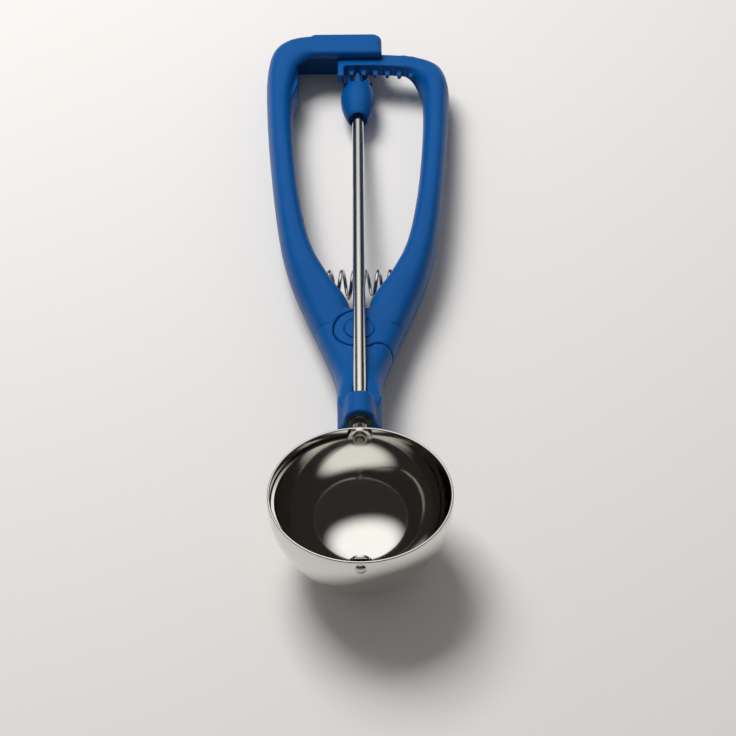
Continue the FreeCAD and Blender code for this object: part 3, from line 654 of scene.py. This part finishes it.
@dataclass
class Bowl:
    """The buffed bowl, its scraper blade and the front rivet."""

    radius: float = 26.0
    wall: float = 0.8
    collar: float = 2.6
    rim_round: float = 0.36
    rim_steps: int = 8
    arc_steps: int = 72
    turns: int = 192
    blade_gap: float = 0.3
    blade_t: float = 0.8
    blade_slack: float = 0.03
    rivet_r: float = 1.1
    rivet_head_r: float = 1.6
    rivet_head_t: float = 0.88
    rivet_root: float = 0.05
    rivet_foot_t: float = 0.45
    rivet_foot_low: float = 0.1
    rivet_foot_high: float = 0.15
    rivet_in: float = -23.457
    rivet_dome_steps: int = 10
    rivet_turns: int = 64

    def profile(self) -> Profile:
        """Returns the bowl's wall from the outer pole round the rim to the inner pole."""
        inner = self.radius - self.wall
        turns = [math.pi / 2 * i / self.arc_steps for i in range(self.arc_steps + 1)]
        points = [(self.radius * math.sin(a), -self.radius * math.cos(a)) for a in turns]
        middle, top = (self.radius + inner) / 2, self.collar - self.rim_round
        reach = self.wall / 2
        for i in range(self.rim_steps + 1):
            a = math.pi * i / self.rim_steps
            points.append((middle + reach * math.cos(a), top + self.rim_round * math.sin(a)))
        points += [(inner * math.sin(a), -inner * math.cos(a)) for a in reversed(turns)]
        return points

    def build_bowl(self, shop: Workshop) -> None:
        """Turns the bowl."""
        piece = shop.lathe("buffed_bowl", self.profile(), Spin.BOWL, self.turns)
        shop.hand_over(piece, BOWL_STEEL, Body.FRAME, "bowl")

    def build_blade(self, shop: Workshop, nodes: Nodes) -> None:
        """Copies the blade and gives its two curved faces the exact normals of their spheres."""
        piece = shop.plain("sweeping_blade", shop.merged(nodes["scraper_blade"]))
        mesh = piece.data
        centre = FRAME.matrix().to_translation()
        half = self.blade_t * MM / 2
        middle = (self.radius - self.wall - self.blade_gap) * MM - half
        normals = []
        for polygon in mesh.polygons:
            polygon.use_smooth = True
            arms = [mesh.vertices[i].co - centre for i in polygon.vertices]
            off = [abs(abs(arm.length - middle) - half) for arm in arms]
            outer = {arm.length > middle for arm in arms}
            curved = max(off) < self.blade_slack * MM and len(outer) == 1
            for arm in arms:
                away = arm.normalized() * (1 if arm.length > middle else -1)
                normals.append(away if curved else polygon.normal.copy())
        mesh.normals_split_custom_set(normals)
        shop.hand_over(piece, BLADE_STEEL, Body.DRIVE, "scraper_blade")

    def build_rivet(self, shop: Workshop) -> None:
        """Turns the front rivet, domed outside and peened inside."""
        head, face = self.rivet_head_r, -self.radius
        steps = [math.pi / 2 * i / self.rivet_dome_steps for i in range(self.rivet_dome_steps + 1)]
        points = [(head * math.sin(a), face - self.rivet_head_t * math.cos(a)) for a in steps]
        foot = self.rivet_in + self.rivet_foot_t
        low, high = self.rivet_foot_low, self.rivet_foot_high
        points += [
            (self.rivet_r, face + self.rivet_root), (self.rivet_r, self.rivet_in),
            (head - low, self.rivet_in), (head, self.rivet_in + low),
            (head, foot - high), (head - high, foot), (0.0, foot)]
        piece = shop.lathe("front_rivet_turned", points, Spin.ROD, self.rivet_turns)
        shop.hand_over(piece, PIVOT_STEEL, Body.FRAME, "front_rivet")


@dataclass
class Handles:
    """The two blue mouldings: soft-edged bodies with crisp rack teeth."""

    voxel: float = 0.42
    soften: int = 5
    soften_share: float = 0.5
    pinion_teeth: int = 8
    pinion_pitch_r: float = 5.0
    rack_tip_r: float = 113.8
    rack_root_r: float = 116.3
    teeth_left: int = 1
    teeth_right: int = 5
    tooth_low: float = 4.0
    tooth_high: float = 5.4
    tooth_root_w: float = 2.3
    tooth_tip_w: float = 0.9
    tooth_sink: float = 0.6

    def moulded(self, shop: Workshop, name: str, node: bpy.types.Object) -> bpy.types.Object:
        """Makes a copy of a handle whose corners are rounded as a mould leaves them.

        Args:
            shop: The workshop.
            name: The piece's name.
            node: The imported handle.

        Returns:
            The rounded copy.
        """
        piece = shop.plain(name, shop.merged(node))
        even = piece.modifiers.new("even", "REMESH")
        even.mode = "VOXEL"
        even.voxel_size = self.voxel * MM
        even.use_smooth_shade = True
        ease = piece.modifiers.new("ease", "SMOOTH")
        ease.factor = self.soften_share
        ease.iterations = self.soften
        shop.settle(piece)
        return piece

    def tooth_step(self) -> float:
        """Returns the angle between two rack teeth about the pivot."""
        pitch = 2 * math.pi * self.pinion_pitch_r / self.pinion_teeth
        return pitch / ((self.rack_tip_r + self.rack_root_r) / 2)

    def rack(self, shop: Workshop) -> bpy.types.Object:
        """Returns the rack's teeth, which the repeater sets about the pivot."""
        root = FRAME.pivot_y + self.rack_root_r + self.tooth_sink
        tip = FRAME.pivot_y + self.rack_tip_r
        bar = ToothBar(
            self.tooth_root_w, self.tooth_tip_w, root, tip, self.tooth_low, self.tooth_high)
        teeth = shop.from_bmesh("rack_teeth", bar.shape(upright=True))
        step = self.tooth_step()
        Repeater("rack_repeat", Spin.PIVOT).apply(shop, teeth, {
            "Count": self.teeth_left + self.teeth_right,
            "First Angle": step * (self.teeth_left - 0.5), "Step Angle": -step,
            "Centre": FRAME.spin_centre(Spin.PIVOT), "Finish": shop.material(BLUE_PLASTIC)})
        teeth.data.transform(FRAME.matrix())
        return teeth

    def join(self, body: bpy.types.Object, extra: bpy.types.Object) -> None:
        """Puts the extra object's mesh into the body's and drops the extra object."""
        shape = bmesh.new()
        shape.from_mesh(body.data)
        shape.from_mesh(extra.data)
        shape.to_mesh(body.data)
        shape.free()
        bpy.data.objects.remove(extra)

    def build(self, shop: Workshop, nodes: Nodes) -> None:
        """Builds both handles."""
        left = self.moulded(shop, "left_handle_moulding", nodes["fixed_handle"])
        shop.hand_over(left, BLUE_PLASTIC, Body.FRAME, "fixed_handle")
        right = self.moulded(shop, "right_lever_moulding", nodes["lever_handle"])
        self.join(right, self.rack(shop))
        shop.hand_over(right, BLUE_PLASTIC, Body.LEVER, "lever_handle")


@dataclass
class Drive:
    """The rod and its toothed cap."""

    turns: int = 96
    rod_r: float = 1.9
    rod_ease: float = 0.15
    tip_r: float = 1.1
    head_r: float = 1.5
    head_t: float = 0.7
    head_ease: float = 0.3
    head_y: float = 23.457
    clip_y: float = 29.24
    clip_t: float = 0.6
    groove: float = 0.35
    cap_y: float = 169.6
    cap_len: float = 14.2
    bore_len: float = 11.5
    cap_end_r: float = 3.4
    cap_max_r: float = 5.55
    cap_top_r: float = 5.2
    cap_widest: float = 0.72
    cap_swell: float = 0.9
    cap_low_steps: int = 24
    cap_high_steps: int = 8
    cap_lip: float = 0.02
    cap_top_ease: float = 0.2
    mouth_r: float = 2.9
    mouth_depth: float = 1.8
    mouth_ease: float = 0.15
    teeth: int = 8
    crown_in: float = 2.6
    crown_out: float = 4.85
    crown_root_w: float = 2.0
    crown_tip_w: float = 1.0
    crown_sink: float = 0.5
    crown_tip_y: float = 188.75

    def build_rod(self, shop: Workshop) -> None:
        """Turns the rod with its riveted head, its groove and its eased end."""
        head = self.head_y - self.head_t
        end = self.cap_y + self.bore_len
        eased = self.rod_r - self.rod_ease
        shoulder = self.clip_y - self.clip_t
        neck, clip_end = self.rod_r - self.groove, self.clip_y + self.clip_t
        points = [
            (0, head), (self.head_r - self.head_ease, head),
            (self.head_r, head + self.head_ease), (self.head_r, self.head_y),
            (self.tip_r, self.head_y), (self.tip_r, shoulder - self.rod_ease),
            (eased, shoulder - self.rod_ease), (self.rod_r, shoulder),
            (self.rod_r, self.clip_y), (neck, self.clip_y), (neck, clip_end),
            (self.rod_r, clip_end), (self.rod_r, end - self.rod_ease), (eased, end), (0, end)]
        piece = shop.lathe("ground_rod", points, Spin.ROD, self.turns)
        shop.hand_over(piece, ROD_STEEL, Body.DRIVE, "drive_rod")

    def cap_profile(self) -> Profile:
        """Returns the cap's bullet outline, from the rod's mouth round to the top."""
        top = self.cap_y + self.cap_len
        widest = self.cap_y + self.cap_len * self.cap_widest
        floor = self.cap_y + self.mouth_depth
        points = [
            (0, floor), (self.mouth_r, floor), (self.mouth_r, self.cap_y + self.mouth_ease),
            (self.mouth_r + self.mouth_ease, self.cap_y),
            (self.cap_end_r - self.mouth_ease, self.cap_y)]
        for i in range(1, self.cap_low_steps + 1):
            share = i / self.cap_low_steps
            y = self.cap_y + (widest - self.cap_y) * share
            grow = math.sin(share * math.pi / 2) ** self.cap_swell
            points.append((self.cap_end_r + (self.cap_max_r - self.cap_end_r) * grow, y))
        for i in range(1, self.cap_high_steps + 1):
            share = i / self.cap_high_steps
            y = widest + (top - widest) * share
            points.append((self.cap_max_r - (self.cap_max_r - self.cap_top_r) * share ** 2, y))
        lip = top + self.cap_lip
        points += [(self.cap_top_r - self.cap_top_ease, lip), (0, lip)]
        return points

    def build_cap(self, shop: Workshop, handles: Handles) -> None:
        """Turns the cap and sets its crown teeth round the top."""
        cap = shop.lathe("toothed_cap", self.cap_profile(), Spin.ROD, self.turns)
        base = self.cap_y + self.cap_len - self.crown_sink
        bar = ToothBar(
            self.crown_root_w, self.crown_tip_w, base, self.crown_tip_y,
            self.crown_in, self.crown_out)
        crown = shop.from_bmesh("crown_teeth", bar.shape(upright=False))
        Repeater("crown_repeat", Spin.ROD).apply(shop, crown, {
            "Count": self.teeth, "First Angle": math.pi / 2,
            "Step Angle": 2 * math.pi / self.teeth, "Centre": Vector((0, 0, 0)),
            "Finish": shop.material(BLUE_PLASTIC)})
        crown.data.transform(FRAME.matrix())
        handles.join(cap, crown)
        shop.hand_over(cap, BLUE_PLASTIC, Body.DRIVE, "pinion_cap")


@dataclass
class Spring:
    """The return spring, one coil of drawn wire."""

    centre: Point = (0.0, 97.6, -7.4)
    wire_r: float = 0.58
    coil_r: float = 4.3
    pitch: float = 3.7
    turns: float = 6.5
    round_steps: int = 16
    turn_steps: int = 40

    def tree(self) -> tuple[bpy.types.NodeTree, dict[str, str]]:
        """Builds the coil's node tree.

        Returns:
            The tree and its input identifiers by name.
        """
        board, given, ways = open_group("spring_coil", {
            "Wire Radius": "NodeSocketFloat", "Coil Radius": "NodeSocketFloat",
            "Length": "NodeSocketFloat", "Turns": "NodeSocketFloat",
            "Steps": "NodeSocketInt", "Round Steps": "NodeSocketInt",
            "Centre": "NodeSocketVector", "Finish": "NodeSocketMaterial"})
        spiral = board.add("GeometryNodeCurveSpiral", {
            "Resolution": given["Steps"], "Rotations": given["Turns"],
            "Start Radius": given["Coil Radius"], "End Radius": given["Coil Radius"],
            "Height": given["Length"]})
        spot = board.add("GeometryNodeInputPosition").outputs[0]
        split = board.add("ShaderNodeSeparateXYZ", {0: spot}).outputs
        along = board.math("SUBTRACT", split["Z"], board.math("MULTIPLY", given["Length"], 0.5))
        laid = board.add("ShaderNodeCombineXYZ", {"X": along, "Y": split["X"], "Z": split["Y"]})
        moved = board.vector("ADD", {0: laid.outputs[0], 1: given["Centre"]})
        line = board.add("GeometryNodeSetPosition", {
            "Geometry": spiral.outputs[0], "Position": moved})
        wire = board.add("GeometryNodeCurvePrimitiveCircle", {
            "Resolution": given["Round Steps"], "Radius": given["Wire Radius"]})
        tube = board.add("GeometryNodeCurveToMesh", {
            "Curve": line.outputs[0], "Profile Curve": wire.outputs[0], "Fill Caps": True})
        soft = board.add("GeometryNodeSetShadeSmooth", {"Geometry": tube.outputs[0]})
        close_group(board, soft.outputs[0], given["Finish"])
        return board.tree, ways

    def build(self, shop: Workshop) -> None:
        """Winds the spring and sets it between the two arms."""
        tree, ways = self.tree()
        piece = shop.link("wound_spring", bpy.data.meshes.new("wound_spring"))
        modifier = piece.modifiers.new("coil", "NODES")
        modifier.node_group = tree
        length = self.pitch * self.turns
        values = {
            "Wire Radius": self.wire_r, "Coil Radius": self.coil_r, "Length": length,
            "Turns": self.turns, "Steps": int(self.turns * self.turn_steps),
            "Round Steps": self.round_steps, "Centre": Vector(self.centre),
            "Finish": shop.material(WIRE_STEEL)}
        for name, value in values.items():
            modifier[ways[name]] = value
        shop.settle(piece)
        piece.data.transform(FRAME.matrix())
        shop.shade(piece.data)
        shop.finish(piece, WIRE_STEEL)
        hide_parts("return_spring")
        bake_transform(piece)
        LOG.info("%s bends between the arms", piece.name)


@dataclass
class SmallParts:
    """The fittings kept from the frame: their edges are eased and each gets its finish."""

    ease: float = 0.07
    ease_steps: int = 2
    flat_angle: float = math.radians(0.6)
    corner_angle: float = math.radians(40)
    fittings: list[tuple[str, str, Finish, Body]] = field(default_factory=lambda: [
        ("front_washer", "front_washer_eased", PIVOT_STEEL, Body.FRAME),
        ("rear_washer", "rear_washer_eased", PIVOT_STEEL, Body.DRIVE),
        ("rod_circlip", "rod_circlip_eased", BLACK_STEEL, Body.DRIVE),
        ("rod_bush_upper", "upper_bush_eased", BUSH_NYLON, Body.FRAME),
        ("rod_bush_lower", "lower_bush_eased", BUSH_NYLON, Body.FRAME),
        ("bowl_bracket", "bowl_bracket_eased", SHEET_STEEL, Body.FRAME),
        ("bracket_rivets", "bracket_rivets_eased", PIVOT_STEEL, Body.FRAME),
        ("pivot_pin", "pivot_pin_eased", PIVOT_STEEL, Body.FRAME),
        ("pivot_washer", "pivot_washer_eased", PIVOT_STEEL, Body.FRAME),
        ("pivot_bush", "pivot_bush_eased", BUSH_NYLON, Body.LEVER),
        ("pivot_cap", "pivot_cap_eased", BLUE_PLASTIC, Body.LEVER),
    ])

    def build(self, shop: Workshop, nodes: Nodes) -> None:
        """Makes an eased copy of each fitting."""
        for node, name, finish, body in self.fittings:
            shape = shop.merged(nodes[node])
            bmesh.ops.dissolve_limit(
                shape, angle_limit=self.flat_angle, verts=shape.verts, edges=shape.edges)
            piece = shop.plain(name, shape)
            bevel = piece.modifiers.new("ease", "BEVEL")
            bevel.width = self.ease * MM
            bevel.segments = self.ease_steps
            bevel.limit_method = "ANGLE"
            bevel.angle_limit = self.corner_angle
            shop.settle(piece)
            shop.shade(piece.data)
            shop.hand_over(piece, finish, body, node)


@dataclass
class Studio:
    """The table, the lamp, the sky and the camera of the photograph."""

    floor_half: float = 2.5
    pale: Colour = linear(236, 234, 232)
    ambient: float = 0.22
    ambient_tint: Colour = (1.0, 0.995, 0.985, 1)
    mirror_dark: float = 0.03
    dark_tint: Colour = (1.0, 0.97, 0.9, 1)
    mirror_glow: float = 1.3
    glow_tint: Colour = (1.0, 0.99, 0.96, 1)
    glow_from: Point = (-0.1, 0.42, 0.9)
    glow_wide: float = 0.85
    glow_edge: float = math.radians(46)
    glow_core: float = math.radians(20)
    key_power: float = 9.6
    key_size: float = 0.5
    key_place: Point = (-0.30, 0.46, 0.82)
    focal: float = 2600.0
    image: int = 736
    lean: float = math.radians(43.70655531529114)
    reach: float = 722.3143823935552
    spot: tuple[float, float] = (360.2773088762312, 492.9978102711372)
    roll: float = math.radians(-0.5552520657718121)
    rim_height: float = 2.5673204981925712
    sensor: float = 36.0

    def build_floor(self, shop: Workshop) -> None:
        h = self.floor_half
        mesh = bpy.data.meshes.new("table_top")
        mesh.from_pydata([(-h, -h, 0), (h, -h, 0), (h, h, 0), (-h, h, 0)], [], [(0, 1, 2, 3)])
        floor = shop.link("table_top", mesh)
        mesh.materials.append(shop.material(TABLE_PAPER))
        floor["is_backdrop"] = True

    def sky(self, board: NodeBoard, tint: Colour, strength: float) -> bpy.types.NodeSocket:
        """Returns an even sky of one tint and strength."""
        inputs = {"Color": tint, "Strength": strength}
        return board.add("ShaderNodeBackground", inputs).outputs[0]

    def build_world(self) -> None:
        """Makes the sky: pale to the camera, dim to mirrors and even to matt surfaces."""
        world = bpy.data.worlds.new("studio")
        bpy.context.scene.world = world
        world.use_nodes = True
        board = NodeBoard(world.node_tree)
        board.tree.nodes.remove(board.tree.nodes["Background"])
        base = self.sky(board, self.ambient_tint, self.ambient)
        seen = self.sky(board, self.pale, 1.0)
        dark = self.sky(board, self.dark_tint, self.mirror_dark)
        glow = self.sky(board, self.glow_tint, self.mirror_glow)
        room = board.mix_shader(self.glow_share(board), dark, glow)
        ray = board.add("ShaderNodeLightPath").outputs
        mirror = board.mix_shader(ray["Is Glossy Ray"], base, room)
        final = board.mix_shader(ray["Is Camera Ray"], mirror, seen)
        board.join(final, board.tree.nodes["World Output"], "Surface")

    def glow_share(self, board: NodeBoard) -> bpy.types.NodeSocket:
        """Returns how much of the bright far wall a mirror sees in a direction of the sky."""
        seen = board.add("ShaderNodeTexCoord").outputs["Generated"]
        squeezed = board.vector("MULTIPLY", {0: seen, 1: (self.glow_wide, 1, 1)})
        even = board.vector("NORMALIZE", {0: squeezed})
        aim = Vector(self.glow_from).normalized()
        near = board.add("ShaderNodeVectorMath", {0: even, 1: aim}, operation="DOT_PRODUCT")
        soft = board.add("ShaderNodeMapRange", {
            "Value": near.outputs["Value"], "From Min": math.cos(self.glow_edge),
            "From Max": math.cos(self.glow_core)}, interpolation_type="SMOOTHSTEP")
        return soft.outputs["Result"]

    def build_lamp(self) -> None:
        """Hangs the square soft box that looks at the middle of the scoop."""
        light = bpy.data.lights.new("key_box", "AREA")
        light.shape = "SQUARE"
        light.size = self.key_size
        light.energy = self.key_power
        lamp = bpy.data.objects.new("key_box", light)
        lamp.location = self.key_place
        lamp.rotation_euler = (-Vector(self.key_place)).to_track_quat("-Z", "Y").to_euler()
        lamp.visible_glossy = False
        bpy.context.scene.collection.objects.link(lamp)

    def build_camera(self) -> None:
        """Places the camera where the photograph was taken from."""
        right = Vector((1, 0, 0))
        ahead = Vector((0, math.cos(self.lean), -math.sin(self.lean)))
        up = right.cross(ahead)
        right_rolled = right * math.cos(self.roll) + up * math.sin(self.roll)
        up_rolled = up * math.cos(self.roll) - right * math.sin(self.roll)
        turn = Matrix((right_rolled, up_rolled, -ahead)).transposed()
        across, down = ((c - self.image / 2) / self.focal for c in self.spot)
        ray = Vector((across, -down, -1)).normalized()
        place = Vector((0, 0, self.rim_height)) - turn @ (ray * self.reach)
        data = bpy.data.cameras.new("camera")
        data.sensor_width = self.sensor
        data.lens = self.sensor * self.focal / self.image
        camera = bpy.data.objects.new("camera", data)
        bpy.context.scene.collection.objects.link(camera)
        spot = FRAME.matrix() @ place
        camera.matrix_world = Matrix.Translation(spot) @ (FRAME.turn() @ turn).to_4x4()
        bpy.context.scene.camera = camera

    def build(self, shop: Workshop) -> None:
        """Builds the whole studio."""
        self.build_floor(shop)
        self.build_world()
        self.build_lamp()
        self.build_camera()
        bpy.context.scene.view_settings.view_transform = "Standard"


def corners() -> list[list[float]]:
    """Returns the shown object's lowest and highest corner as plain lists."""
    return [list(corner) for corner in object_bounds()]


def main() -> None:
    """Builds the scoop piece by piece, and the studio round it."""
    logging.basicConfig(level=logging.INFO, format="%(name)s: %(message)s")
    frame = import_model()
    nodes = frame["nodes"]
    shop = Workshop()
    bowl = Bowl()
    bowl.build_bowl(shop)
    bowl.build_blade(shop, nodes)
    bowl.build_rivet(shop)
    handles = Handles()
    handles.build(shop, nodes)
    drive = Drive()
    drive.build_rod(shop)
    drive.build_cap(shop, handles)
    Spring().build(shop)
    SmallParts().build(shop, nodes)
    Studio().build(shop)


if __name__ == "__main__":
    main()
